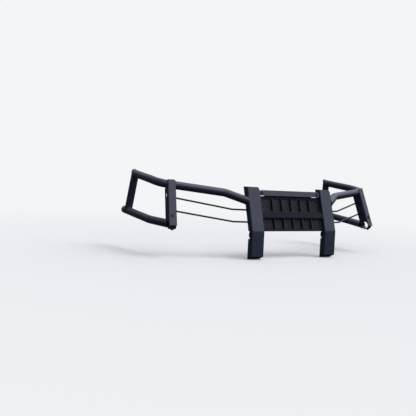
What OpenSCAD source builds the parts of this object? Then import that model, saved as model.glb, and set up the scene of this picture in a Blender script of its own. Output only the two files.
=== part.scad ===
// Front grille guard for a utility vehicle, bolted over a round bumper tube.
// Frame: origin where the bumper tube's axis crosses the middle of the guard,
// +X to the vehicle's left, -Y towards the front, +Z up. Millimetres.
// The _left parts are on the +X side, the _right parts on the -X side.

/* [Bumper tube] */
// Outside diameter of the bumper tube that the guard clamps to
bumper_od = 42.2; // [38:0.1:44]

/* [Uprights] */
// Distance from the middle to the centre of each upright
upright_x = 252.5; // [240:0.5:265]
// Width of an upright's front face
upright_w = 80; // [72:1:86]
// Depth of an upright's side flanges
upright_d = 40; // [38:1:44]
// Plate thickness of the uprights
upright_t = 4; // [3:0.5:5]
// How far an upright's upper half leans back for every 24 mm of height
lean_run = 7; // [6.4:0.2:7.6]
// Height of the bend in the front face
bend_z = 24; // [23:1:28]
// Height of the top of the uprights
top_z = 262; // [258:1:268]
// Height of the lower edge of the front face
foot_z = -114; // [-122:1:-106]

/* [Crossbar and mid rail] */
// Height of the crossbar's face, along the lean
crossbar_h = 31; // [28:1:34]
// Height of the mid rail's face, along the lean
rail_h = 35; // [30:1:38]
// Sheet thickness of the crossbar and the rail
sheet_t = 3; // [2.5:0.5:3.5]

/* [Screen] */
// Distance between the hexagonal holes of the mesh
mesh_pitch = 17; // [16:0.5:20]
// Width of a hexagonal hole across its flats
mesh_hole = 13; // [11:0.5:13.5]
// Distance between the upright blades of the screen
blade_pitch = 65; // [60:1:68]

/* [Wings] */
// Outside diameter of the wing tubes
tube_od = 44.45; // [42:0.05:44.6]
// Wall thickness of the wing tubes
tube_wall = 2; // [1.5:0.25:3]
// Diameter of the headlight rods
rod_d = 9.5; // [8:0.5:10]
// Bend radius of the wing tubes at the corner bracket
corner_bend_r = 100; // [90:5:110]

/* [Corner brackets] */
// Width of a corner bracket's face
bracket_w = 45; // [40:1:46]
// Length of a corner bracket's face
bracket_h = 255; // [250:1:260]
// Depth of a corner bracket's inner flange
inner_flange_d = 68; // [66:1:72]
// Depth of a corner bracket's outer flange
outer_flange_d = 42; // [38:1:46]
// Plate thickness of the corner brackets
bracket_t = 4; // [3:0.5:4]

/* [Fasteners] */
// Thread diameter of the visible bolts
bolt_d = 8; // [6:1:8]

/* [Hidden] */
$fn = 64;

black = [0.13, 0.14, 0.17];
deep_black = [0.10, 0.11, 0.13];
plastic = [0.06, 0.06, 0.07];
zinc = [0.20, 0.21, 0.23];

gap = 0.1;                         // clearance between separate pieces
bumper_r = bumper_od / 2;
strap_t = 4;                       // thickness of the straps around the bumper tube
face_y = -37;                      // front of the uprights' lower half
inner_x = upright_x - upright_w / 2;   // inner side of the left upright
outer_x = upright_x + upright_w / 2;   // outer side of the left upright

// ---------- the leaning plane of the uprights' upper half ----------
lean_slope = lean_run / 24;
lean = atan(lean_slope);           // from the vertical
lean_stretch = sqrt(1 + lean_slope * lean_slope);  // level width of a leaning strip of width 1

// y of the leaning face, set back by setback, at height z
function face_at(z, setback) = face_y + (z - bend_z) * lean_slope + setback * lean_stretch;

// distance up the lean of a point at height z that is set back by setback
function up_at(z, setback) = (z - bend_z) * lean_stretch + setback * lean_slope;

// children with z up the lean and y square to it
module on_lean(z, setback) translate([0, face_at(z, setback), z]) rotate([-lean, 0, 0]) children();

// ---------- helpers ----------
function unit(v) = v / norm(v);

// both sides of the guard
module pair() {
  children();
  mirror([1, 0, 0]) children();
}

// children in the frame with the given axes and origin
module in_frame(ax, ay, az, origin)
  multmatrix([
    [ax[0], ay[0], az[0], origin[0]],
    [ax[1], ay[1], az[1], origin[1]],
    [ax[2], ay[2], az[2], origin[2]],
    [0, 0, 0, 1]
  ]) children();

// children at a point, with their z along the direction
module along(point, direction) {
  az = unit(direction);
  ax = unit(cross(abs(az[2]) < 0.9 ? [0, 0, 1] : [1, 0, 0], az));
  in_frame(ax, cross(az, ax), az, point) children();
}

module round_bar(start, end, r) along(start, end - start) cylinder(r = r, h = norm(end - start));

// the bend at point b of a bar that runs from a over b to c
module elbow(a, b, c, bend_r, r) {
  dir_in = unit(b - a);
  dir_out = unit(c - b);
  normal = unit(cross(dir_in, dir_out));
  turn = acos(dir_in * dir_out);
  out = -cross(normal, dir_in);    // from the bend's centre to its start
  centre = b - dir_in * (bend_r * tan(turn / 2)) - out * bend_r;
  in_frame(out, dir_in, normal, centre)
    rotate_extrude(angle = turn) translate([bend_r, 0]) circle(r = r);
}

function turn_at(points, i) =
  acos(unit(points[i] - points[i - 1]) * unit(points[i + 1] - points[i]));

// distance from point i to the start of its bend
function bend_start(points, radii, i) =
  (i == 0 || i == len(points) - 1) ? 0 : radii[i - 1] * tan(turn_at(points, i) / 2);

// a bar of radius r that follows the points with the bend radii,
// made extra longer at both ends
module bent_bar(points, radii, r, extra = 0) {
  draw_down = 0.05;                // the bends are thinner by this
  lap = 1;                         // the straight runs reach this far into the bends
  last = len(points) - 1;
  for (i = [0 : last - 1]) {
    run = unit(points[i + 1] - points[i]);
    from_start = i == 0 ? -extra : bend_start(points, radii, i) - lap;
    from_end = i == last - 1 ? -extra : bend_start(points, radii, i + 1) - lap;
    round_bar(points[i] + run * from_start, points[i + 1] - run * from_end, r);
  }
  for (i = [1 : last - 1])
    elbow(points[i - 1], points[i], points[i + 1], radii[i - 1], r - draw_down);
}

// a cylinder across the guard, centred, as fine as the bumper tube's saddles need
module cross_cylinder(r, length)
  translate([-length / 2, 0, 0]) rotate([0, 90, 0]) cylinder(r = r, h = length, $fn = 96);

// a cutter for a bolt hole along y, from 20 in front to rear behind
module bolt_hole(play = 0.4, rear = 20)
  translate([0, rear, 0]) rotate([90, 0, 0]) cylinder(r = bolt_d / 2 + play, h = rear + 20);

module hexagon(across, h) cylinder(r = across / 2 / cos(30), h = h, $fn = 6);

// head above z = 0, shank below it; the shank reaches into the head by overlap
module hex_bolt(d, across, head_h, length, overlap = 0) {
  hexagon(across, head_h);
  translate([0, 0, -length]) cylinder(r = d / 2, h = length + overlap);
}

module ring(h, hole_r) difference() {
  children();
  translate([0, 0, -1]) cylinder(r = hole_r, h = h + 2);
}

module hex_nut(d, across, h) ring(h, d / 2 + 0.05) hexagon(across, h);
module washer(d, od, h) ring(h, d / 2 + 0.3) cylinder(r = od / 2, h = h);

// sizes of the hexagon fasteners
bolt_across = 13;
head_h = 5.3;
washer_t = 1.6;
rod_nut_across = 15;
rod_nut_h = 7;
module bolt_nut() hex_nut(bolt_d, bolt_across, 6.5);
module rod_nut() hex_nut(rod_d, rod_nut_across, rod_nut_h);

// ---------- paths of the wings and rods, +X side ----------
// each point is where two straight runs meet
wing_start = [outer_x, 32, 185];           // upper tube at the upright
wing_front_bend = [392.4, 102.8, 223.5];
wing_corner = [729.6, 216.3, 260.4];       // behind the corner bracket
wing_rise = [735.8, 334.0, 279.5];         // rise towards the rear
wing_rear = [731.4, 576.0, 309.2];         // rear corner, mitred to the post
wing_radii = [60, corner_bend_r, 150];
lower_path = [[693.0, 161.5, 46.5], [738.3, 320.6, 57.0], [755.5, 663.0, 91.5]];
lower_radii = [150];
post_foot = [753.1, 614.5, 86.7];          // on the lower tube
upper_rod_path = [[outer_x, 28, 135.3], [373.2, 51.6, 135.6], [670.0, 193.5, 187.2]];
lower_rod_path = [[outer_x, 8, 70.6], [374.9, 31.8, 70.4], [677.0, 171.5, 117.0]];
rod_paths = [upper_rod_path, lower_rod_path];
rod_hole_r = rod_d / 2 + 0.5;

// direction of a rod at its corner bracket
function rod_dir(path) = unit(path[2] - path[1]);

// ---------- uprights ----------
upright_fold_r = 6;                // outside radius of the folds
lip_drop = 17;                     // how far the foot lip drops on its way to the rear

// heights of the bend and of the foot at a depth behind the face
function bend_at(depth) = bend_z + (depth - depth * lean_stretch) / lean_slope;
function foot_at(depth) = foot_z - lip_drop * depth / upright_d;

// side view of an upright from depth front to depth rear, up to height top,
// with its foot raised by foot_rise
module side_view(front, foot_rise, rear, top) polygon([
  [face_y + front, foot_at(front) + foot_rise],
  [face_y + front, bend_at(front)],
  [face_at(top, front), top],
  [face_at(top, rear), top],
  [face_y + rear, bend_at(rear)],
  [face_y + rear, foot_at(rear) + foot_rise]
]);

// cutter that rounds an outside fold along +z
module fold_off(length) difference() {
  translate([-1, -1, 0]) cube([upright_fold_r + 1, upright_fold_r + 1, length]);
  translate([upright_fold_r, upright_fold_r, -1]) cylinder(r = upright_fold_r, h = length + 2);
}

module upright_body() difference() {
  translate([-upright_w / 2, 0, 0]) rotate([90, 0, 90])
    linear_extrude(height = upright_w) side_view(0, 0, upright_d, top_z);
  // inside, open at the rear and the top; the sloping foot lip stands 1.1 times as high as thick
  translate([-upright_w / 2 + upright_t, 0, 0]) rotate([90, 0, 90])
    linear_extrude(height = upright_w - 2 * upright_t)
      side_view(upright_t, upright_t * 1.1, upright_d + 30, top_z + 50);
  for (m = [0, 1]) mirror([m, 0, 0]) translate([-upright_w / 2, face_y, 0]) {
    translate([0, 0, foot_z - 40]) fold_off(bend_z - foot_z + 60);
    translate([0, 0, bend_z]) rotate([-lean, 0, 0]) translate([0, 0, -20]) fold_off(320);
  }
}

// the same pressing is used on both sides, so the clipped corner is at +x
module upright(side) color(black) difference() {
  translate([side * upright_x, 0, 0]) upright_body();
  // saddle for the bumper tube
  cross_cylinder(bumper_r, 800);
  // clipped top corner
  translate([side * upright_x + upright_w / 2 - 12, -200, top_z])
    rotate([0, 56, 0]) cube([60, 400, 60]);
  // holes for the headlight rods in the outer flange, from 10 inside it to 4 outside
  for (path = rod_paths) {
    start = [side * path[0][0] - (side > 0 ? 10 : 4), path[0][1], path[0][2]];
    round_bar(start, start + [14, 0, 0], rod_hole_r);
  }
  // screen screw holes in the inner flange
  on_lean(screen_z, screen_set)
    for (z = lug_z) translate([side * inner_x, lug_hole_y, z]) lug_hole();
}
module upright_left() upright(1);
module upright_right() upright(-1);

// cross plates inside the uprights, above and below the bumper tube
bridge_z = 40;
bridge_t = 5;
bridge_h = 22;
bridge_rear = 1;                   // y of their rear faces
module strap_bridges() color(deep_black) for (side = [-1, 1]) for (k = [-1, 1])
  translate([side * upright_x, 0, k * bridge_z]) difference() {
    translate([-upright_w / 2 + upright_t + gap, bridge_rear - bridge_t, -bridge_h / 2])
      cube([upright_w - 2 * upright_t - 2 * gap, bridge_t, bridge_h]);
    bolt_hole(play = 0.3);
  }

// ---------- crossbar ----------
crossbar_set = 8;                  // set-back of its face from the uprights' face
crossbar_x = inner_x - 2.5;        // half length over the end tabs
crossbar_z = 231.5;                // height of the middle of the face
tab_x = 156;                       // where the flanges stop and the tabs start
tab_r = 13;                        // corner radius of the tabs
crossbar_bolt_x = 194;
upper_flange_d = 26;
lower_flange_d = 40;
return_h = 12;                     // stiffening return behind the lower flange

module top_crossbar() color(black) on_lean(crossbar_z, crossbar_set) difference() {
  union() {
    // face with rounded ends
    translate([-crossbar_x + tab_r, 0, -crossbar_h / 2])
      cube([2 * (crossbar_x - tab_r), sheet_t, crossbar_h]);
    for (s = [-1, 1]) {
      for (k = [-1, 1])
        translate([s * (crossbar_x - tab_r), sheet_t, k * (crossbar_h / 2 - tab_r)])
          rotate([90, 0, 0]) cylinder(r = tab_r, h = sheet_t);
      translate([s * (crossbar_x - tab_r / 2) - tab_r / 2, 0, -crossbar_h / 2 + tab_r])
        cube([tab_r, sheet_t, crossbar_h - 2 * tab_r]);
    }
    // upper flange, lower flange and the return
    translate([-tab_x, 0, crossbar_h / 2 - sheet_t]) cube([2 * tab_x, upper_flange_d, sheet_t]);
    translate([-tab_x, 0, -crossbar_h / 2]) cube([2 * tab_x, lower_flange_d, sheet_t]);
    translate([-tab_x, lower_flange_d - sheet_t, -crossbar_h / 2])
      cube([2 * tab_x, sheet_t, return_h]);
  }
  for (s = [-1, 1]) translate([s * crossbar_bolt_x, 0, 0]) bolt_hole();
}

// angled ears between the uprights' inner flanges and the rear of the crossbar's tabs
ear_t = 5;
ear_h = 26;
ear_d = 24;
ear_x = 166;                       // where the ears start
module crossbar_ears() color(deep_black) on_lean(crossbar_z, crossbar_set)
  for (s = [-1, 1]) difference() {
    union() {
      translate([s > 0 ? ear_x : -inner_x + gap, sheet_t + gap, -ear_h / 2])
        cube([inner_x - gap - ear_x, ear_t, ear_h]);
      translate([s > 0 ? inner_x - gap - ear_t : -inner_x + gap, sheet_t + gap, -ear_h / 2])
        cube([ear_t, ear_d, ear_h]);
    }
    translate([s * crossbar_bolt_x, 0, 0]) bolt_hole(rear = 40);
  }

// ---------- mid rail ----------
rail_z = 113;
rail_set = 8;                      // set-back of its face from the uprights' face
screen_set = 20;                   // set-back of the screen from the uprights' face
rail_d = screen_set - rail_set - gap;   // the rail's flanges stop in front of the screen
module mid_rail() color(black) on_lean(rail_z, rail_set) {
  half = inner_x - gap;
  translate([-half, 0, -rail_h / 2]) cube([2 * half, sheet_t, rail_h]);
  for (z = [rail_h / 2 - sheet_t, -rail_h / 2])
    translate([-half, 0, z]) cube([2 * half, rail_d, sheet_t]);
}

// ---------- screen ----------
screen_lo = 4;                     // its lower edge, up the lean
screen_hi = up_at(crossbar_z, crossbar_set) - crossbar_h / 2 - gap;   // under the crossbar
screen_h = screen_hi - screen_lo;
screen_z = bend_z + ((screen_hi + screen_lo) / 2 - screen_set * lean_slope) / lean_stretch;
screen_w = 2 * inner_x - 3;
frame_border = 14;
frame_t = 4;
rail_up = up_at(rail_z, rail_set) - up_at(screen_z, screen_set);   // mid rail above the middle
lug_z = [44, -62];                 // screw lugs, up and down from the middle
lug_t = 3;
lug_h = 18;
lug_hole_y = 13;

module lug_hole() rotate([0, 90, 0]) translate([0, 0, -10]) cylinder(r = 2.7, h = 20);

module round_box(w, h, r) union() {
  square([w - 2 * r, h], center = true);
  square([w, h - 2 * r], center = true);
  for (i = [-1, 1]) for (j = [-1, 1]) translate([i * (w / 2 - r), j * (h / 2 - r)]) circle(r = r);
}

module screen_frame() color(black) on_lean(screen_z, screen_set) {
  rotate([90, 0, 0]) translate([0, 0, -frame_t]) linear_extrude(height = frame_t) difference() {
    round_box(screen_w, screen_h, 8);
    round_box(screen_w - 2 * frame_border, screen_h - 2 * frame_border, 18);
  }
  // lugs for the screws, folded to the rear
  for (s = [-1, 1]) for (z = lug_z) difference() {
    translate([s > 0 ? screen_w / 2 - lug_t : -screen_w / 2, 3, z - lug_h / 2])
      cube([lug_t, 17, lug_h]);
    translate([s * screen_w / 2, lug_hole_y, z]) lug_hole();
  }
}

mesh_w = screen_w - 8;
mesh_h = screen_h - 8;
mesh_t = 1.5;
row_pitch = mesh_pitch * sin(60);
columns = floor((mesh_w - 14) / mesh_pitch);
rows = floor((mesh_h - 12) / row_pitch);
// every other row is shifted by half a pitch and has one hole less
module screen_mesh() color(deep_black) on_lean(screen_z, screen_set + frame_t + gap)
  rotate([90, 0, 0]) translate([0, 0, -mesh_t]) linear_extrude(height = mesh_t) difference() {
    translate([-mesh_w / 2, -mesh_h / 2]) square([mesh_w, mesh_h]);
    for (j = [0 : rows - 1]) for (i = [0 : columns - 1 - (j % 2)])
      translate([(i - (columns - 1) / 2 + (j % 2) / 2) * mesh_pitch, (j - (rows - 1) / 2) * row_pitch])
        rotate(30) circle(r = mesh_hole / 2 / cos(30), $fn = 6);
  }

// wire cloth that keeps mud off the radiator, a plain sheet in place of its weave
module debris_cloth() color(deep_black) on_lean(screen_z, screen_set + frame_t + mesh_t + 2 * gap)
  translate([-mesh_w / 2, 0, -mesh_h / 2]) cube([mesh_w, 1.2, mesh_h]);

// upright blades in front of the mesh, above and below the mid rail
module blade(lo, hi) translate([-2, -8, lo]) cube([4, 12, hi - lo]);
module screen_blades() color(deep_black) on_lean(screen_z, screen_set)
  for (k = [-2 : 2]) translate([k * blade_pitch, 0, 0]) {
    blade(rail_up + rail_h / 2 + 1, screen_h / 2 - frame_border - gap);
    blade(-screen_h / 2 + frame_border + gap, rail_up - rail_h / 2 - 1);
  }

// ---------- wings ----------
tube_r = tube_od / 2;
bore_r = tube_r - tube_wall;
start_dir = unit(wing_start - wing_front_bend);    // out of the tube's upright end
rear_dir = unit(wing_rear - wing_rise);            // out of the tube's rear end
post_dir = unit(post_foot - wing_rear);            // down the post
mitre_dir = unit(rear_dir + post_dir);             // square to the mitre between them

// the wing tube's path, made extra longer at both ends
function wing_path(extra) = [
  wing_start + start_dir * extra, wing_front_bend, wing_corner, wing_rise,
  wing_rear + rear_dir * extra
];

// cutter for the mitre: side 1 takes off what is past it, side -1 what is before it
module mitre_cut(side) along(wing_rear - side * mitre_dir * gap / 2, side * mitre_dir)
  translate([-60, -60, 0]) cube([120, 120, 80]);

// upper wing tube, trimmed flat at the upright's outer flange
module wing_tube() color(black) difference() {
  bent_bar(wing_path(30), wing_radii, tube_r);
  bent_bar(wing_path(31), wing_radii, bore_r);
  translate([outer_x + gap - 100, -200, 0]) cube([100, 400, 400]);
  mitre_cut(1);
}
module wing_tube_left() wing_tube();
module wing_tube_right() mirror([1, 0, 0]) wing_tube();

module lower_tube() color(black) difference() {
  bent_bar(lower_path, lower_radii, tube_r);
  bent_bar(lower_path, lower_radii, bore_r, 1);
}
module lower_tube_left() lower_tube();
module lower_tube_right() mirror([1, 0, 0]) lower_tube();

// rear post, mitred to the upper tube and coped on the lower one
module rear_post() color(black) difference() {
  lower_dir = unit(lower_path[2] - lower_path[1]);
  round_bar(wing_rear - post_dir * 30, post_foot, tube_r - 0.05);
  round_bar(wing_rear - post_dir * 31, post_foot + post_dir, bore_r);
  mitre_cut(-1);
  round_bar(lower_path[1] + lower_dir * 60, lower_path[2] + lower_dir * 60, tube_r + gap);
}
module rear_post_left() rear_post();
module rear_post_right() mirror([1, 0, 0]) rear_post();

// plastic plugs with domed caps in the rear ends of the lower tubes
module tube_end_plugs() color(plastic) pair() along(lower_path[2], lower_path[2] - lower_path[1]) {
  translate([0, 0, -14]) cylinder(r = bore_r - gap, h = 14.5);
  rotate_extrude() polygon([
    [0, 0.1], [tube_r, 0.1], [tube_r, 2], [tube_r - 1, 3.6], [tube_r - 3, 4.8], [0, 5.6]
  ]);
}

// ---------- headlight rods ----------
// threaded ends go on through the upright and the bracket's inner flange
module rod(path) color(black) bent_bar(
  [path[0] - [14, 0, 0], path[0] + [8, 0, 0], path[1], path[2] + rod_dir(path) * 20],
  [25, 25], rod_d / 2);
module upper_rod_left() rod(upper_rod_path);
module upper_rod_right() mirror([1, 0, 0]) rod(upper_rod_path);
module lower_rod_left() rod(lower_rod_path);
module lower_rod_right() mirror([1, 0, 0]) rod(lower_rod_path);

// ---------- corner brackets ----------
// bracket frame: x along the face, y to the rear, z up the bracket
bracket_at = [701.6, 91.4, 44.0];
bracket_yaw = 12;
bracket_lean = 19.85;
bracket_roll = -5.33;
bracket_fold_r = 6;                // outside radius of the folds
axis_y = bracket_t + strap_t + bumper_r;   // bumper axis behind the face
axis_z = 13;                               // bumper axis above the lower edge
face_bolt_z = 56.6;
leg_x = 1;                         // middle of the corner strap's leg across the face
leg_w = 28;
corner_strap_w = 36;               // width of the strap under the tube

module on_bracket() translate(bracket_at) rotate([-bracket_lean, bracket_roll, 0])
  rotate([0, 0, bracket_yaw]) children();

// the flanges run straight to the rear, so they lean over the yawed face
flange_dir = [sin(bracket_yaw), cos(bracket_yaw)];
flange_out = [-cos(bracket_yaw), sin(bracket_yaw)];   // square to the flanges, towards -x
inner_fold_x = -bracket_w / 2 + bracket_fold_r * (1 + sin(bracket_yaw)) / cos(bracket_yaw);
outer_fold_x = bracket_w / 2 - bracket_fold_r * (1 - sin(bracket_yaw)) / cos(bracket_yaw);

// points inset from a flange's outside and reach along it
function on_inner(inset, reach) = [-bracket_w / 2, 0] - flange_out * inset + flange_dir * reach;
function on_outer(inset, reach) = [bracket_w / 2, 0] + flange_out * inset + flange_dir * reach;

// plan of the bracket with folds of radius r and flanges of the two depths
module bracket_plan(r, inner_d, outer_d) {
  inset = bracket_fold_r - r;
  polygon([
    [inner_fold_x, inset], [outer_fold_x, inset],
    [outer_fold_x, bracket_fold_r] - flange_out * r,
    on_outer(inset, outer_d), on_outer(20, outer_d),
    on_inner(20, inner_d), on_inner(inset, inner_d),
    [inner_fold_x, bracket_fold_r] + flange_out * r
  ]);
  for (x = [inner_fold_x, outer_fold_x]) translate([x, bracket_fold_r]) circle(r = r);
}

module corner_bracket() color(black) difference() {
  on_bracket() difference() {
    linear_extrude(height = bracket_h) difference() {
      bracket_plan(bracket_fold_r, inner_flange_d, outer_flange_d);
      bracket_plan(bracket_fold_r - bracket_t, inner_flange_d + 30, outer_flange_d + 30);
    }
    // inner flange clipped at the top rear corner
    translate([-60, inner_flange_d * flange_dir[1], bracket_h])
      rotate([45, 0, 0]) cube([90, 30, 30], center = true);
    // notches for the wing tube: at the top of the inner flange, and across
    // the top rear corner of the outer flange
    translate([-45, 4.6, 234]) cube([50, 2 * tube_r + 2, 60]);
    translate([8, 34 - tube_r - 2, 238 - tube_r]) cube([60, 90, 60]);
    // saddle for the bumper tube, a little wider than the tube so that only
    // the strap grips it, and room for the strap
    translate([0, axis_y, axis_z]) cross_cylinder(bumper_r + 0.6, 120);
    translate([-60, bracket_t - 0.1, axis_z - 60])
      cube([120, 2 * (axis_y - bracket_t) + 4, 60]);
    translate([leg_x, 0, face_bolt_z]) bolt_hole();
    // clipped inner top corner of the face
    translate([-bracket_w / 2, 0, bracket_h])
      rotate([0, 45, 0]) cube([14, 14, 14], center = true);
    // slot in the outer flange
    for (z = [168, 180]) translate([10, 27, z]) rotate([0, 90, 0]) cylinder(r = 6, h = 40);
    translate([10, 21, 168]) cube([40, 12, 12]);
  }
  // twelve-sided opening for the wing tube
  along(wing_corner - unit(wing_corner - wing_front_bend) * 107, wing_corner - wing_front_bend)
    rotate(15) cylinder(r = (tube_r + 0.3) / cos(15), h = 60, $fn = 12);
  // openings for the lower tube and the rods
  lower_dir = unit(lower_path[1] - lower_path[0]);
  round_bar(lower_path[0] - lower_dir * 0.3, lower_path[0] + lower_dir * 60, tube_r + gap);
  for (path = rod_paths)
    round_bar(path[2] - rod_dir(path) * 24, path[2] + rod_dir(path) * 12, rod_hole_r);
}
module corner_bracket_left() corner_bracket();
module corner_bracket_right() mirror([1, 0, 0]) corner_bracket();

// strap under the bumper tube, its front leg bolted to the face
corner_strap_t = strap_t - gap;
module corner_strap() color(deep_black) on_bracket() difference() {
  union() {
    translate([0, axis_y, axis_z]) cross_cylinder(bumper_r + corner_strap_t, corner_strap_w);
    translate([leg_x - leg_w / 2, axis_y - bumper_r - corner_strap_t, axis_z - 6])
      cube([leg_w, corner_strap_t, 66]);
  }
  translate([0, axis_y, axis_z]) cross_cylinder(bumper_r, 120);
  // open above the tube, and clear on both sides of the leg
  translate([-60, axis_y - bumper_r, axis_z]) cube([120, 2 * bumper_r + 20, 80]);
  for (x = [leg_x + leg_w / 2, leg_x - leg_w / 2 - 30])
    translate([x, -20, axis_z]) cube([30, 60, 80]);
  translate([leg_x, 0, face_bolt_z]) bolt_hole(rear = 40);
  // hole for the locking screw
  translate([leg_x, axis_y, axis_z - bumper_r - 10]) cylinder(r = bolt_d / 2 + 0.1, h = 20);
}
module corner_strap_left() corner_strap();
module corner_strap_right() mirror([1, 0, 0]) corner_strap();

// ---------- straps behind the uprights ----------
upright_strap_w = 44;
upright_strap_h = 108;
module upright_strap() color(deep_black) translate([upright_x, 0, 0]) difference() {
  union() {
    cross_cylinder(bumper_r + strap_t, upright_strap_w);
    translate([-upright_strap_w / 2, bridge_rear + gap, -upright_strap_h / 2])
      cube([upright_strap_w, strap_t, upright_strap_h]);
  }
  cross_cylinder(bumper_r, 120);
  // nothing in front of the bridges' rear faces
  translate([-60, -60, -60]) cube([120, 60 + bridge_rear + gap, 120]);
  for (k = [-1, 1]) translate([0, 0, k * bridge_z]) bolt_hole();
}
module upright_strap_left() upright_strap();
module upright_strap_right() mirror([1, 0, 0]) upright_strap();

// ---------- fasteners ----------
// children at both of the crossbar's bolts, at depth y from its face
module at_crossbar_bolts(y) on_lean(crossbar_z, crossbar_set)
  for (s = [-1, 1]) translate([s * crossbar_bolt_x, y, 0]) children();

module crossbar_bolts() color(zinc) at_crossbar_bolts(-washer_t - gap)
  rotate([90, 0, 0]) hex_bolt(bolt_d, bolt_across, head_h, 22);
module crossbar_washers() color(zinc) at_crossbar_bolts(-gap)
  rotate([90, 0, 0]) washer(bolt_d, 17, washer_t);
module crossbar_nuts() color(zinc) at_crossbar_bolts(sheet_t + ear_t + 2 * gap)
  rotate([-90, 0, 0]) bolt_nut();

// children at the four bolts of the upright straps
module at_strap_bolts(y)
  for (s = [-1, 1]) for (k = [-1, 1]) translate([s * upright_x, y, k * bridge_z]) children();

module strap_bolts() color(zinc) at_strap_bolts(bridge_rear + strap_t + 2 * gap)
  rotate([-90, 0, 0]) hex_bolt(bolt_d, bolt_across, head_h, 20);
module strap_nuts() color(zinc) at_strap_bolts(bridge_rear - bridge_t - gap)
  rotate([90, 0, 0]) bolt_nut();

// flanged bolts through the bracket faces and the straps' legs
module corner_face_bolts() color(zinc) pair() on_bracket()
  translate([leg_x, -gap, face_bolt_z]) rotate([90, 0, 0]) {
    cylinder(r = 9, h = 1.2);
    hex_bolt(bolt_d, bolt_across, 6, 20, overlap = 0.5);
  }
module corner_face_nuts() color(zinc) pair() on_bracket()
  translate([leg_x, axis_y - bumper_r + gap, face_bolt_z]) rotate([-90, 0, 0]) bolt_nut();

// short locking screws in the bottoms of the corner straps
module corner_lock_screws() color(zinc) pair() on_bracket()
  translate([leg_x, axis_y, axis_z - bumper_r - corner_strap_t - gap]) rotate([180, 0, 0])
    hex_bolt(bolt_d, bolt_across, head_h, 3.5, overlap = 0.5);

// nuts and washers on the rod ends; the bevelled washers take up the angle
// between the rods and the inner flanges
washer_end = 9;                    // where the bevelled washers stop past the path's end
module rod_nuts_outer() color(zinc) pair() for (path = rod_paths)
  along(path[2] + rod_dir(path) * washer_end, rod_dir(path)) rod_nut();
module rod_bevel_washers() color(zinc) pair() for (path = rod_paths) difference() {
  near = bracket_t + gap;
  far = bracket_t + 24;
  intersection() {
    along(path[2] - rod_dir(path) * 12, rod_dir(path))
      cylinder(r = 8.8, h = washer_end + 12 - gap);
    on_bracket() linear_extrude(height = bracket_h)
      polygon([on_inner(near, 0), on_inner(far, 0), on_inner(far, 90), on_inner(near, 90)]);
  }
  along(path[2] - rod_dir(path) * 13, rod_dir(path)) cylinder(r = rod_d / 2 + 0.3, h = 30);
}
module rod_nuts_inner() color(zinc) pair() for (path = rod_paths)
  translate(path[0] - [upright_t + gap, 0, 0]) rotate([0, -90, 0]) rod_nut();
module rod_washers() color(zinc) pair() for (path = rod_paths)
  translate(path[0] + [gap, 0, 0]) rotate([0, 90, 0]) washer(rod_d, 19, washer_t);

module screen_screws() color(zinc) on_lean(screen_z, screen_set) for (s = [-1, 1]) for (z = lug_z)
  translate([s * (screen_w / 2 - lug_t - gap), lug_hole_y, z]) rotate([0, -90 * s, 0])
    hex_bolt(5, 8, 4, 11);

upright_left();
upright_right();
strap_bridges();
top_crossbar();
crossbar_ears();
mid_rail();
screen_frame();
screen_mesh();
debris_cloth();
screen_blades();
wing_tube_left();
wing_tube_right();
lower_tube_left();
lower_tube_right();
rear_post_left();
rear_post_right();
corner_bracket_left();
corner_bracket_right();
upper_rod_left();
upper_rod_right();
lower_rod_left();
lower_rod_right();
upright_strap_left();
upright_strap_right();
corner_strap_left();
corner_strap_right();
tube_end_plugs();
crossbar_bolts();
crossbar_nuts();
crossbar_washers();
strap_bolts();
strap_nuts();
corner_face_bolts();
corner_face_nuts();
corner_lock_screws();
rod_nuts_outer();
rod_bevel_washers();
rod_nuts_inner();
rod_washers();
screen_screws();
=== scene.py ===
"""Looks and studio scene for a powder-coated front guard made of tubes, plates and mesh.

The guard faces -Y, its left side is +X and +Z is up. This script gives them materials
and adds weld beads, screw threads, a floor, lights and a camera. Lengths are in metres,
except where a comment says mm. Side pieces are described on the left (+X) and mirrored
to the right.
"""
import math
import random

import bpy
import bmesh
from mathutils import Matrix, Vector


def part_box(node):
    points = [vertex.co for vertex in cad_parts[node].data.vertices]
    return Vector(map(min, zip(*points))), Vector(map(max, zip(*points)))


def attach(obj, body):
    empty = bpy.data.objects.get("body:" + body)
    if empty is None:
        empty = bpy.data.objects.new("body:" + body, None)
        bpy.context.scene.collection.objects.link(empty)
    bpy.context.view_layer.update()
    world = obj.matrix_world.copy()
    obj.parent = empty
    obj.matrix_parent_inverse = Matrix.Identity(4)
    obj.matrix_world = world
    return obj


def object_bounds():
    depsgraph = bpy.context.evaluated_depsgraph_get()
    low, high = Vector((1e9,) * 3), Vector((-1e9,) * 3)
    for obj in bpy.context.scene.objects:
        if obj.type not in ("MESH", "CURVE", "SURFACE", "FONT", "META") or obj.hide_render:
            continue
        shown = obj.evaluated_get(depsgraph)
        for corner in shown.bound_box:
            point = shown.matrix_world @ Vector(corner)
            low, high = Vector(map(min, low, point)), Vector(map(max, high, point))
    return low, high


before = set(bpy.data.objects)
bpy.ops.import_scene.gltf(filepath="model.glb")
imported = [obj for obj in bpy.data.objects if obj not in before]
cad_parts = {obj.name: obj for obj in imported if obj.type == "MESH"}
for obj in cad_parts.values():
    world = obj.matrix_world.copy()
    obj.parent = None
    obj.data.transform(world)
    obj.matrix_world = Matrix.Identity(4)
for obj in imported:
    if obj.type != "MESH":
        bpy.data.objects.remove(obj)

cad_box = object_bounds()
random.seed(7)
MM = 0.001

# The sloping front: shares of y and z in one step up the slope, and a point on it in mm
SLOPE_Y, SLOPE_Z = 0.28, 0.96
FRONT_Y, FRONT_Z = -37, 24


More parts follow.
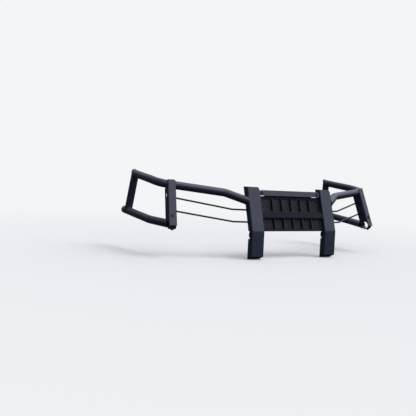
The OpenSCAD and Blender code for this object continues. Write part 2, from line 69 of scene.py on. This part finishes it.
# ---------------------------------------------------------------- node building
class NodeNet:
    """An emptied node tree of a material or world, with short ways to add nodes."""

    def __init__(self, owner):
        owner.use_nodes = True
        self.tree = owner.node_tree
        self.tree.nodes.clear()

    def feed(self, node, inputs):
        """Link sockets, or set plain values, on the named or numbered inputs."""
        for key, value in inputs.items():
            socket = node.inputs[key]
            if isinstance(value, bpy.types.NodeSocket):
                self.tree.links.new(value, socket)
            elif socket.type == "RGBA":
                socket.default_value = (*value, 1)
            else:
                socket.default_value = value

    def add(self, kind, inputs=(), **props):
        node = self.tree.nodes.new(kind)
        for key, value in props.items():
            setattr(node, key, value)
        self.feed(node, dict(inputs))
        return node

    def math(self, operation, first, second=None, clamp=False):
        inputs = {0: first} if second is None else {0: first, 1: second}
        return self.add("ShaderNodeMath", inputs, operation=operation, use_clamp=clamp).outputs[0]

    def times(self, first, second, clamp=False):
        return self.math("MULTIPLY", first, second, clamp)

    def noise(self, place, scale, detail=2.0, rough=0.5, distort=0.0):
        return self.add("ShaderNodeTexNoise", {
            "Scale": scale, "Detail": detail, "Roughness": rough,
            "Distortion": distort, "Vector": place}).outputs["Fac"]

    def remap(self, value, span, to=(0.0, 1.0)):
        return self.add("ShaderNodeMapRange", {
            "From Min": span[0], "From Max": span[1],
            "To Min": to[0], "To Max": to[1], "Value": value}).outputs["Result"]

    def patches(self, place, span, to=(0.0, 1.0), **noise):
        """Noise whose span of values is remapped."""
        return self.remap(self.noise(place, **noise), span, to)

    def mix(self, factor, first, second):
        inputs = {0: factor, 6: first, 7: second}
        return self.add("ShaderNodeMix", inputs, data_type="RGBA").outputs[2]

    def tint(self, colour, tone):
        """A fixed colour made lighter or darker by a tone socket."""
        inputs = {0: colour, "Scale": tone}
        return self.add("ShaderNodeVectorMath", inputs, operation="SCALE").outputs[0]

    def split(self, vector):
        return self.add("ShaderNodeSeparateXYZ", {0: vector}).outputs

    def mix_shader(self, factor, first, second):
        return self.add("ShaderNodeMixShader", {0: factor, 1: first, 2: second}).outputs[0]


def principled(name):
    """A material with one Principled shader, and its object coordinates."""
    mat = bpy.data.materials.new(name)
    net = NodeNet(mat)
    bsdf = net.add("ShaderNodeBsdfPrincipled")
    net.add("ShaderNodeOutputMaterial", {0: bsdf.outputs[0]})
    place = net.add("ShaderNodeTexCoord").outputs["Object"]
    return mat, net, bsdf, place


# ---------------------------------------------------------------- materials
def powder(name, base, rough=0.46, peel=700.0, peel_height=0.00012, worn=(0.16, 0.165, 0.18),
           wear=0.5, dust=0.10, edge=0.0011, coat=0.12, speck=0.16, metallic=0.0, specular=0.5):
    """Satin powder coat: colour drift, speckle, orange peel, rubbed edges and dust on top.

    peel is the noise scale of the orange peel, edge the radius of the rubbed edges.
    """
    mat, net, bsdf, place = principled(name)
    normal = net.add("ShaderNodeNewGeometry").outputs["Normal"]

    drift = net.patches(place, span=(0.3, 0.7), to=(0.86, 1.14),
                        scale=9.0, detail=3.0, rough=0.55)
    grain = net.patches(place, span=(0.3, 0.7), to=(1.0 - speck, 1.0 + speck),
                        scale=420.0, rough=0.6)
    colour = net.tint(base, net.times(drift, grain))

    # rubbed edges, where the rounded normal leaves the flat one
    rounded = net.add("ShaderNodeBevel", {"Radius": edge}, samples=4).outputs[0]
    agreement = net.add("ShaderNodeVectorMath", {0: rounded, 1: normal},
                        operation="DOT_PRODUCT").outputs["Value"]
    rim = net.remap(agreement, span=(0.995, 0.80))
    patchy = net.patches(place, span=(0.42, 0.66), scale=38.0, detail=5.0, rough=0.7)
    rub = net.times(net.times(rim, patchy, clamp=True), wear, clamp=True)
    colour = net.mix(rub, colour, worn)

    # dust that settles on faces that look up
    dust_colour = (0.30, 0.30, 0.31)
    upward = net.remap(net.split(normal)["Z"], span=(0.35, 0.95))
    drifted = net.patches(place, span=(0.35, 0.75), to=(0.25, 1.0),
                          scale=22.0, detail=6.0, rough=0.65)
    settled = net.times(net.times(upward, drifted, clamp=True), dust, clamp=True)
    colour = net.mix(settled, colour, dust_colour)

    # hairline scratches: thin crests of a stretched noise
    scratch_tint, scratch_depth = 0.10, 0.8
    stretched = net.add("ShaderNodeMapping", {
        "Scale": (1.0, 9.0, 14.0), "Rotation": (0.4, 0.9, 0.3), "Vector": place}).outputs[0]
    lines = net.patches(stretched, span=(0.70, 0.74), scale=60.0, detail=3.0, distort=0.4)
    colour = net.mix(net.times(lines, scratch_tint), colour, worn)

    # dust dulls the coat and rubbing polishes it
    dust_dulling, rub_polish = 0.5, 0.12
    gloss = net.patches(place, span=(0.3, 0.7), to=(rough - 0.06, rough + 0.08),
                        scale=14.0, detail=4.0, rough=0.6)
    gloss = net.math("ADD", gloss, net.times(settled, dust_dulling))
    gloss = net.math("SUBTRACT", gloss, net.times(rub, rub_polish), clamp=True)

    # orange peel: a fine noise and a coarser, higher one
    coarse_scale, coarse_height = 0.28, 1.6
    height = net.math("ADD", net.noise(place, scale=peel),
                      net.times(net.noise(place, scale=peel * coarse_scale), coarse_height))
    height = net.math("SUBTRACT", height, net.times(lines, scratch_depth))
    bump = net.add("ShaderNodeBump", {
        "Strength": 0.55, "Distance": peel_height, "Height": height, "Normal": rounded})

    net.feed(bsdf, {
        "Base Color": colour,
        "Roughness": gloss,
        "Metallic": metallic,
        "Specular IOR Level": specular,
        "Coat Weight": coat,
        "Coat Roughness": 0.34,
        "Normal": bump.outputs[0],
    })
    return mat


def woven(name, base, pitch=0.0026, wire=(0.30, 0.29, 0.28)):
    """Wire cloth: two sets of round wires that pass over and under, with painted shade and mud in
    the gaps.
    """
    mat, net, bsdf, place = principled(name)
    axes = net.split(place)

    # wires run across and up the slope, so that the squares stay square on the sheet
    wave = math.pi / pitch
    weave = 0.35                               # how far the wires rise and dip
    up_slope = net.math("ADD", net.times(axes["Y"], SLOPE_Y), net.times(axes["Z"], SLOPE_Z))
    across = net.times(axes["X"], wave)
    upward = net.times(up_slope, wave)
    ridge_across = net.math("ABSOLUTE", net.math("SINE", across))
    ridge_upward = net.math("ABSOLUTE", net.math("SINE", upward))
    over = net.times(net.math("COSINE", across), net.math("COSINE", upward))
    high = net.math("MAXIMUM",
                    net.math("ADD", ridge_across, net.times(over, weave)),
                    net.math("SUBTRACT", ridge_upward, net.times(over, weave)))

    # painted shade: the gaps and low parts of the weave are darkened, with uneven dirt on top;
    # then bare crests, then mud low in the weave
    mud_colour = (0.055, 0.045, 0.034)
    tone = net.remap(high, span=(0.35, 1.1), to=(0.18, 1.0))
    dirt = net.patches(place, span=(0.35, 0.7), to=(0.55, 1.25),
                       scale=26.0, detail=6.0, rough=0.65)
    colour = net.tint(base, net.times(tone, dirt))
    rub = net.times(net.remap(high, span=(1.05, 1.3)),
                    net.patches(place, span=(0.5, 0.7), to=(0.0, 0.5),
                                scale=60.0, detail=4.0, rough=0.6), clamp=True)
    colour = net.mix(rub, colour, wire)
    mud = net.times(net.patches(place, span=(0.5, 0.75), to=(0.0, 0.5),
                                scale=11.0, detail=5.0, rough=0.7),
                    net.remap(high, span=(0.9, 0.5)), clamp=True)
    colour = net.mix(mud, colour, mud_colour)

    bump = net.add("ShaderNodeBump", {"Strength": 0.9, "Distance": 0.0006, "Height": high})
    net.feed(bsdf, {
        "Base Color": colour,
        "Roughness": net.remap(high, span=(0.4, 1.2), to=(0.85, 0.42)),
        "Metallic": 0.25,
        "Specular IOR Level": 0.25,
        "Normal": bump.outputs[0],
    })
    return mat


plate_coat = powder("coat_plate", base=(0.0126, 0.0168, 0.0400))
tube_coat = powder("coat_tube", base=(0.0118, 0.0156, 0.0365), rough=0.40, peel=620.0)
rod_coat = powder("coat_rod", base=(0.0060, 0.0078, 0.0160), rough=0.50, edge=0.0004,
                  dust=0.04, specular=0.3)
# a darker copy of the plate coat: its darker base is painted shade of the recessed opening, its
# low specular and missing clear coat a matte finish
rail_coat_painted_shade = powder("coat_rail_painted_shade", base=(0.0050, 0.0070, 0.0150), rough=0.66, coat=0.0,
                   dust=0.04, specular=0.2)
strap_coat = powder("coat_strap", base=(0.0088, 0.0106, 0.0175), rough=0.48, wear=0.7)
# a darker copy of the plate coat: its darker base is painted shade of the recessed opening, its
# low specular a matte finish
mesh_coat_painted_shade = powder("coat_mesh_painted_shade", base=(0.0055, 0.0064, 0.0105), rough=0.62, edge=0.0003,
                   wear=0.35, dust=0.05, specular=0.35)
weld_coat = powder("coat_weld", base=(0.0128, 0.0156, 0.0270), rough=0.38, peel=1100.0,
                   edge=0.0005, wear=0.8, dust=0.05)
black_zinc = powder("black_zinc", base=(0.030, 0.031, 0.036), rough=0.36, peel=1500.0,
                    peel_height=0.00006, worn=(0.42, 0.42, 0.43), wear=0.8, dust=0.05,
                    edge=0.0005, coat=0.0, speck=0.10, metallic=0.6)
moulded_plug = powder("moulded_plug", base=(0.012, 0.012, 0.014), rough=0.55, peel=1400.0,
                      worn=(0.06, 0.06, 0.065), wear=0.4, dust=0.12, edge=0.0008, coat=0.0)
wire_cloth = woven("wire_cloth", base=(0.019, 0.0185, 0.020))


def material_for(piece):
    """The material of a CAD piece, chosen by its name; the first match counts."""
    if piece == "tube_end_plugs":
        return moulded_plug
    if any(word in piece for word in ("bolts", "nuts", "washers", "screws")):
        return black_zinc
    if piece == "debris_cloth":
        return wire_cloth
    # the screen pieces and the mid rail get the darker coats that carry painted shade
    if piece in ("screen_mesh", "screen_blades"):
        return mesh_coat_painted_shade
    if piece in ("mid_rail", "screen_frame"):
        return rail_coat_painted_shade
    if piece == "crossbar_ears" or "strap_" in piece:
        return strap_coat
    if "rod" in piece:
        return rod_coat
    if "tube" in piece or "post" in piece:
        return tube_coat
    return plate_coat


def chamfer(ob, width):
    """Chamfer the sharp edges of fasteners and plugs."""
    bevel = ob.modifiers.new("chamfer", "BEVEL")
    bevel.limit_method = "ANGLE"
    bevel.angle_limit = math.radians(72)
    bevel.width = width
    bevel.segments = 2
    bevel.use_clamp_overlap = True


for piece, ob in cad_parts.items():
    mat = material_for(piece)
    if not ob.material_slots:
        ob.data.materials.append(mat)
    for material_slot in ob.material_slots:
        material_slot.material = mat
    if mat in (black_zinc, moulded_plug):
        chamfer(ob, width=0.0003 if "washers" in piece else 0.00055)


# ---------------------------------------------------------------- strands
def mm(*xyz):
    return Vector(xyz) * MM


def axes_of(direction):
    """Two unit vectors square to a direction, and the unit direction itself."""
    along = direction.normalized()
    helper = Vector((0, 0, 1)) if abs(along.z) < 0.9 else Vector((1, 0, 0))
    side = helper.cross(along).normalized()
    return side, along.cross(side), along


def spoke(side, top, angle, radius):
    return (side * math.cos(angle) + top * math.sin(angle)) * radius


def sweep(bm, path, radii, closed=False, sides=8):
    """A round strand along a path, with a radius at each point."""
    count = len(path)
    tangents = []
    for i in range(count):
        before = path[(i - 1) % count] if closed or i else path[i]
        after = path[(i + 1) % count] if closed or i < count - 1 else path[i]
        tangents.append((after - before).normalized())
    helper = Vector((0, 0, 1)) if abs(tangents[0].z) < 0.9 else Vector((1, 0, 0))
    side = tangents[0].cross(helper).normalized()
    rings = []
    for point, tangent, radius in zip(path, tangents, radii):
        side = (side - tangent * side.dot(tangent)).normalized()
        top = tangent.cross(side)
        rings.append([bm.verts.new(point + spoke(side, top, 2 * math.pi * j / sides, radius))
                      for j in range(sides)])
    for i in range(count if closed else count - 1):
        ring, following = rings[i], rings[(i + 1) % count]
        if closed and i == count - 1:
            # line the last ring up with the first one
            nearest = min(range(sides), key=lambda s: (ring[0].co - following[s].co).length)
            following = following[nearest:] + following[:nearest]
            if ((ring[1].co - following[1].co).length
                    > (ring[1].co - following[-1].co).length):
                following = [following[0]] + following[:0:-1]
        for j in range(sides):
            k = (j + 1) % sides
            bm.faces.new((ring[j], ring[k], following[k], following[j]))
    if not closed:
        bm.faces.new(rings[0][::-1])
        bm.faces.new(rings[-1])


def resample(points, step, closed=False):
    """Points at an even spacing, near to step, along a line."""
    line = list(points) + ([points[0]] if closed else [])
    reach = [0.0]
    for start, end in zip(line, line[1:]):
        reach.append(reach[-1] + (end - start).length)
    count = max(3, int(round(reach[-1] / step)))
    out = []
    j = 0
    for i in range(count if closed else count + 1):
        target = reach[-1] * i / count
        while j < len(reach) - 2 and reach[j + 1] < target:
            j += 1
        share = (target - reach[j]) / max(reach[j + 1] - reach[j], 1e-12)
        out.append(line[j].lerp(line[j + 1], share))
    return out


RIPPLE_PITCH = 0.0034
RIPPLE_STEPS = 4
BEAD_TAPER = (0.55, 0.8, 0.95)                 # share of the radius, from each open end


def bead(bm, points, radius, closed=False):
    """A weld bead with the ripple of its puddles."""
    path = resample(points, RIPPLE_PITCH / RIPPLE_STEPS, closed)
    radii = []
    for i in range(len(path)):
        wave = abs(math.sin(math.pi * i / RIPPLE_STEPS))
        radii.append(radius * (0.84 + 0.20 * wave + random.uniform(-0.03, 0.03)))
    if not closed:
        for i, share in enumerate(BEAD_TAPER):
            radii[i] *= share
            radii[-1 - i] *= share
    sweep(bm, path, radii, closed)


def thread(bm, start, direction, radius, length, pitch):
    """The crest of a screw thread, as a helix that fades at both ends."""
    steps_per_turn, fade_steps = 20, 8
    sink, crest_growth = 0.00012, 0.00024
    side, top, along = axes_of(direction)
    turns = length / pitch
    count = int(turns * steps_per_turn)
    path, radii = [], []
    for i in range(count + 1):
        angle = 2 * math.pi * turns * i / count
        path.append(start + spoke(side, top, angle, radius - sink) + along * (length * i / count))
        fade = min(1.0, i / fade_steps, (count - i) / fade_steps)
        radii.append(sink + crest_growth * fade)
    sweep(bm, path, radii, sides=6)


def surface_lines(point, direction, radius, steps):
    """The unit direction of a round bar, and one point on each of its surface lines."""
    side, top, along = axes_of(direction)
    starts = [point + spoke(side, top, 2 * math.pi * i / steps, radius) for i in range(steps)]
    return along, starts


def ring_on_plane(point, direction, radius, on_plane, normal, steps=120):
    """Where the surface lines of a round bar meet a plane."""
    along, starts = surface_lines(point, direction, radius, steps)
    return [start + along * ((on_plane - start).dot(normal) / along.dot(normal))
            for start in starts]


def ring_on_bar(point, direction, radius, centre, axis, bar_radius, steps=120):
    """Where the surface lines of a round bar leave another bar with a unit axis."""
    along, starts = surface_lines(point, direction, radius, steps)
    ring = []
    for start in starts:
        # a quadratic in the distance along the line, seen square to the other bar
        offset = start - centre
        slope = along - axis * along.dot(axis)
        gap = offset - axis * offset.dot(axis)
        square, linear = slope.dot(slope), 2 * slope.dot(gap)
        constant = gap.dot(gap) - bar_radius * bar_radius
        root = math.sqrt(max(linear * linear - 4 * square * constant, 0.0))
        ring.append(offset + centre + along * ((-linear + root) / (2 * square)))
    return ring


def runs_of(points, keep):
    """Runs of more than 4 neighbours of a closed ring that pass the test, longest first."""
    count = len(points)
    passed = [keep(point) for point in points]
    if all(passed):
        return [points]
    runs = []
    for i in range(count):
        if passed[i] and not passed[i - 1]:
            run = []
            j = i
            while passed[j % count]:
                run.append(points[j % count])
                j += 1
            if len(run) > 4:
                runs.append(run)
    return sorted(runs, key=len, reverse=True)


def mirrored_pair(make, name, mat):
    """Builds a piece on the +X side and its twin on the -X side."""
    for tag in ("left", "right"):
        bm = bmesh.new()
        make(bm)
        if tag == "right":
            mirror = Matrix.Scale(-1, 4, Vector((1, 0, 0)))
            bmesh.ops.transform(bm, matrix=mirror, verts=bm.verts)
        mesh = bpy.data.meshes.new(f"{name}_{tag}")
        bmesh.ops.recalc_face_normals(bm, faces=bm.faces)
        bm.to_mesh(mesh)
        bm.free()
        mesh.shade_smooth()
        ob = bpy.data.objects.new(f"{name}_{tag}", mesh)
        bpy.context.scene.collection.objects.link(ob)
        ob.data.materials.append(mat)
        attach(ob, "root")


# ---------------------------------------------------------------- guard geometry
upright_low, upright_high = (Vector(end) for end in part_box("upright_left"))
OUTER_X = upright_high.x                       # outer flange plane of the upright
INNER_X = upright_low.x                        # inner flange plane
MIDDLE_X = (OUTER_X + INNER_X) / 2
TUBE_RADIUS = 0.022225

# centre lines of the left side, in mm, from the upright or bracket outwards
WING_TUBE = [mm(292.5, 32, 185), mm(392.4, 102.8, 223.5), mm(729.6, 216.3, 260.4),
             mm(735.8, 334.0, 279.5), mm(731.4, 576.0, 309.2)]
LOWER_TUBE = [mm(693.0, 161.5, 46.5), mm(738.3, 320.6, 57.0), mm(755.5, 663.0, 91.5)]
POST_FOOT = mm(753.1, 614.5, 86.7)
RODS = [
    [mm(292.5, 28, 135.3), mm(373.2, 51.6, 135.6), mm(670.0, 193.5, 187.2)],
    [mm(292.5, 8, 70.6), mm(374.9, 31.8, 70.4), mm(677.0, 171.5, 117.0)],
]

# heights in mm of the lower and upper sets of slope welds, and their setback
LOWER_HEIGHT, UPPER_HEIGHT = 113, 231.5
SLOPE_SETBACK = 8
FOOT_HEIGHTS = (-40, 40)                       # mm, threads and welds behind them

# the corner bracket's origin and axes: along its face, to the rear, up
BRACKET = mm(701.6, 91.4, 44.0)
BRACKET_X = Vector((0.98048, 0.19556, 0.02057))
BRACKET_Y = Vector((-0.17622, 0.91999, -0.35003))
BRACKET_Z = Vector((-0.08738, 0.33958, 0.93651))
FLANGE_SPLAY = math.radians(12)
SPLAY_COS, SPLAY_SIN = math.cos(FLANGE_SPLAY), math.sin(FLANGE_SPLAY)
FLANGE_NORMAL = BRACKET_X * -SPLAY_COS + BRACKET_Y * SPLAY_SIN     # out of the inner flange
FLANGE_REARWARD = BRACKET_X * SPLAY_SIN + BRACKET_Y * SPLAY_COS


def segment(path, i):
    """The unit direction from point i of a path to the next."""
    return (path[i + 1] - path[i]).normalized()


def on_bracket(x, y, z):
    """A point in the corner bracket's axes, in mm."""
    return BRACKET + (BRACKET_X * x + BRACKET_Y * y + BRACKET_Z * z) * MM


def front_y(z):
    """The y of the sloping front at height z, both in mm."""
    return FRONT_Y + (z - FRONT_Z) * 7 / 24


def leaning(height, setback):
    """Places points in mm by x, depth and rise on a plane set back from the sloping front."""
    base_y = front_y(height) + setback / SLOPE_Z

    def place(x, depth, rise):
        return mm(x, base_y + SLOPE_Z * depth + SLOPE_Y * rise,
                  height - SLOPE_Y * depth + SLOPE_Z * rise)
    return place


FLANGE_ORIGIN = on_bracket(-22.5, 0, 0)


# ---------------------------------------------------------------- welds
def weld_wing(bm):
    """Wing tube to upright, only where the upright's flange backs the tube's end."""
    clearance, plane_gap = 0.0006, 0.0007
    front_margin, flange_end = 0.002, 0.0405   # behind the sloping front
    ring = ring_on_plane(WING_TUBE[0], segment(WING_TUBE, 0), TUBE_RADIUS + clearance,
                         Vector((OUTER_X + plane_gap, 0, 0)), Vector((1, 0, 0)), steps=200)

    def on_flange(point):
        front = front_y(point.z / MM) * MM
        return front + front_margin < point.y < front + flange_end

    for run in runs_of(ring, on_flange):
        bead(bm, run, radius=0.0027)


def weld_post(bm):
    """The mitre at the post's top, and the post's foot on the lower tube."""
    top = WING_TUBE[4]
    tube_direction = segment(WING_TUBE, 3)
    post_direction = (POST_FOOT - top).normalized()
    mitre_clearance, foot_clearance, lower_clearance = 0.0002, 0.0004, 0.0006
    mitre = ring_on_plane(top, tube_direction, TUBE_RADIUS + mitre_clearance, top,
                          (tube_direction + post_direction).normalized())
    bead(bm, mitre, radius=0.0023, closed=True)
    foot = ring_on_bar(POST_FOOT, -post_direction, TUBE_RADIUS + foot_clearance,
                       LOWER_TUBE[1], segment(LOWER_TUBE, 1), TUBE_RADIUS + lower_clearance)
    bead(bm, foot, radius=0.0026, closed=True)


def weld_flange(bm, point, direction, clearance, steps, keep, most, radius):
    """Beads around a tube on both faces of the corner bracket's inner flange."""
    for offset in (0.4, -4.4):                 # mm along the flange normal
        ring = ring_on_plane(point, direction, TUBE_RADIUS + clearance,
                             FLANGE_ORIGIN + FLANGE_NORMAL * offset * MM, FLANGE_NORMAL, steps)
        for run in runs_of(ring, keep)[:most]:
            bead(bm, run, radius)


def weld_bracket(bm):
    """Wing tube and lower tube to the corner bracket."""
    flange_top = 247                           # mm up the bracket
    tube_margin, flange_depth = 0.0006, 0.067
    lower_start, lower_direction = LOWER_TUBE[0], segment(LOWER_TUBE, 0)

    def below_top(point):
        return (point - BRACKET).dot(BRACKET_Z) / MM < flange_top

    def on_tube_and_flange(point):
        return ((point - lower_start).dot(lower_direction) > tube_margin
                and (point - FLANGE_ORIGIN).dot(FLANGE_REARWARD) < flange_depth)

    weld_flange(bm, WING_TUBE[2], segment(WING_TUBE, 1), clearance=0.0003, steps=160,
                keep=below_top, most=1, radius=0.0023)
    weld_flange(bm, lower_start, lower_direction, clearance=0.0002, steps=240,
                keep=on_tube_and_flange, most=2, radius=0.0021)


def weld_centre(bm):
    """Welds on the upright's inner flange, and two short upright beads at each foot height."""
    # three sides of a box at the lower height, its front corners cut; sizes in mm
    place = leaning(LOWER_HEIGHT, SLOPE_SETBACK)
    x = INNER_X / MM - 0.6
    half, proud, depth = 17.5, 0.4, 11
    outline = [(depth, half + proud), (0, half + proud), (-proud, half),
               (-proud, -half), (0, -half - proud), (depth, -half - proud)]
    bead(bm, [place(x, y, z) for y, z in outline], radius=0.0021)

    # top, bottom and rear edge of a tab at the upper height
    place = leaning(UPPER_HEIGHT, SLOPE_SETBACK)
    x -= -0.3 + 0.6
    for edge in ([(4.5, 13.4), (26.5, 13.4)],
                 [(4.5, -13.4), (26.5, -13.4)],
                 [(27.4, -12), (27.4, 12)]):
        bead(bm, [place(x, y, z) for y, z in edge], radius=0.0019)

    side_x, y, half_length = 35.4, 1.6, 9.5
    for z in FOOT_HEIGHTS:
        for offset in (-side_x, side_x):
            x = MIDDLE_X / MM + offset
            bead(bm, [mm(x, y, z - half_length), mm(x, y, z + half_length)], radius=0.0019)


mirrored_pair(weld_wing, "weld_wing_tube", weld_coat)
mirrored_pair(weld_post, "weld_rear_post", weld_coat)
mirrored_pair(weld_bracket, "weld_corner_bracket", weld_coat)
mirrored_pair(weld_centre, "weld_centre", weld_coat)


# ---------------------------------------------------------------- threads
def rod_threads(bm):
    """Threads beyond the outer end of each rod, and inside the upright's outer flange."""
    size = {"radius": 0.00475, "pitch": 0.0012}
    past_end, inside_flange = 0.0161, 0.0113
    for rod in RODS:
        start, end = rod[0], rod[2]
        outward = segment(rod, 1)
        thread(bm, end + outward * past_end, outward, length=0.0035, **size)
        thread(bm, Vector((OUTER_X - inside_flange, start.y, start.z)), Vector((-1, 0, 0)),
               length=0.0024, **size)


def bolt_threads(bm):
    """Threads on the slope, at both foot heights and on the corner bracket."""
    size = {"radius": 0.004, "pitch": 0.00125}
    place = leaning(UPPER_HEIGHT, SLOPE_SETBACK)
    thread(bm, place(194, 15.0, 0), place(0, 1, 0) - place(0, 0, 0), length=0.0050, **size)
    for z in FOOT_HEIGHTS:
        thread(bm, Vector((MIDDLE_X, -0.0108, z * MM)), Vector((0, -1, 0)),
               length=0.0036, **size)
    thread(bm, on_bracket(1, 14.9, 56.6), BRACKET_Y, length=0.0046, **size)


mirrored_pair(rod_threads, "thread_rods", black_zinc)
mirrored_pair(bolt_threads, "thread_bolts", black_zinc)

# ---------------------------------------------------------------- floor and light
SKY = (0.905, 0.91, 0.92)
PAPER = (0.715, 0.70, 0.675)
PAPER_BOUNCE = (0.055, 0.055, 0.06)            # what the paper throws back at the guard
FLOOR_GAP = 0.0004                             # below the lowest CAD point

# the sky that lights the guard: (0 straight down .. 1 straight up, colour)
SKY_RAMP = [
    (0.44, (0.02, 0.021, 0.024)),
    (0.52, (0.07, 0.074, 0.085)),
    (0.62, (0.55, 0.58, 0.66)),
    (0.72, (0.93, 0.98, 1.10)),
    (1.0, (0.93, 0.98, 1.10)),
]


def paper_material():
    """Pale paper that fades into the sky, and throws little light back up."""
    mat = bpy.data.materials.new("floor_paper")
    net = NodeNet(mat)
    paper = net.add("ShaderNodeBsdfDiffuse", {"Color": PAPER}).outputs[0]
    bounce = net.add("ShaderNodeBsdfDiffuse", {"Color": PAPER_BOUNCE}).outputs[0]
    far = net.add("ShaderNodeEmission", {"Color": SKY, "Strength": 1.0}).outputs[0]
    place = net.add("ShaderNodeTexCoord").outputs["Object"]
    distance = net.add("ShaderNodeVectorMath", {0: place}, operation="LENGTH").outputs["Value"]
    visible = net.mix_shader(net.remap(distance, span=(1.2, 4.2)), paper, far)
    camera_ray = net.add("ShaderNodeLightPath").outputs["Is Camera Ray"]
    net.add("ShaderNodeOutputMaterial", {0: net.mix_shader(camera_ray, bounce, visible)})
    return mat


def build_floor():
    bm = bmesh.new()
    bmesh.ops.create_circle(bm, cap_ends=True, radius=40.0, segments=96)
    mesh = bpy.data.meshes.new("floor")
    bm.to_mesh(mesh)
    bm.free()
    floor = bpy.data.objects.new("floor", mesh)
    bpy.context.scene.collection.objects.link(floor)
    floor.location = (0, 0.3, cad_box[0][2] - FLOOR_GAP)
    floor.data.materials.append(paper_material())


def build_world():
    """A plain sky for the camera, and a graded one that lights the guard."""
    world = bpy.data.worlds.new("studio")
    bpy.context.scene.world = world
    net = NodeNet(world)
    seen = net.add("ShaderNodeBackground", {"Color": SKY, "Strength": 1.0})
    direction = net.add("ShaderNodeTexCoord").outputs["Generated"]

    height = net.add("ShaderNodeMath", {0: net.split(direction)["Z"], 1: 0.5, 2: 0.5},
                     operation="MULTIPLY_ADD").outputs[0]
    ramp = net.add("ShaderNodeValToRGB", {0: height})
    elements = ramp.color_ramp.elements
    for position, _ in SKY_RAMP[1:-1]:
        elements.new(position)
    for element, (position, colour) in zip(elements, SKY_RAMP):
        element.position = position
        element.color = (*colour, 1)

    # the soft light comes from the guard's left and front
    light_side = (0.80, -0.52, 0.30)
    brightest = 1.45
    facing = net.add("ShaderNodeVectorMath", {0: direction, 1: light_side},
                     operation="DOT_PRODUCT").outputs["Value"]
    power = net.times(net.remap(facing, span=(-0.6, 0.7), to=(0.20, 1.0)), brightest)
    # this strength stands only if the power link is taken off
    lit = net.add("ShaderNodeBackground", {"Color": ramp.outputs[0], "Strength": 1.15})
    net.feed(lit, {"Strength": power})

    camera_ray = net.add("ShaderNodeLightPath").outputs["Is Camera Ray"]
    sky = net.mix_shader(camera_ray, lit.outputs[0], seen.outputs[0])
    net.add("ShaderNodeOutputWorld", {0: sky})


def build_sun():
    light = bpy.data.lights.new("soft_sun", "SUN")
    light.energy = 1.1
    light.angle = math.radians(32)
    light.color = (1.0, 0.985, 0.965)
    sun = bpy.data.objects.new("soft_sun", light)
    bpy.context.scene.collection.objects.link(sun)
    toward_sun = Vector((1.1, -1.2, 2.6))
    sun.rotation_euler = (-toward_sun).to_track_quat("-Z", "Y").to_euler()


# ---------------------------------------------------------------- camera
CAMERA_PLACE = Vector((-1.9674, -2.5294, 0.2718))
AZIMUTH, ELEVATION, ROLL = math.radians(-29.23), math.radians(2.55), math.radians(2.57)


def build_camera():
    """Looks at the guard from its front right, a little from above."""
    back = Vector((math.sin(AZIMUTH) * math.cos(ELEVATION),
                   -math.cos(AZIMUTH) * math.cos(ELEVATION),
                   math.sin(ELEVATION)))
    level = Vector((0, 0, 1)).cross(back).normalized()
    upright = back.cross(level)
    right = level * math.cos(ROLL) + upright * math.sin(ROLL)
    up = -level * math.sin(ROLL) + upright * math.cos(ROLL)
    data = bpy.data.cameras.new("camera")
    data.sensor_width = 36.0
    data.lens = 48.4753846
    data.clip_end = 200.0
    camera = bpy.data.objects.new("camera", data)
    bpy.context.scene.collection.objects.link(camera)
    turn = Matrix((right, up, back)).transposed().to_4x4()
    camera.matrix_world = Matrix.Translation(CAMERA_PLACE) @ turn
    bpy.context.scene.camera = camera


build_floor()
build_world()
build_sun()
build_camera()
bpy.context.scene.view_settings.view_transform = "Standard"
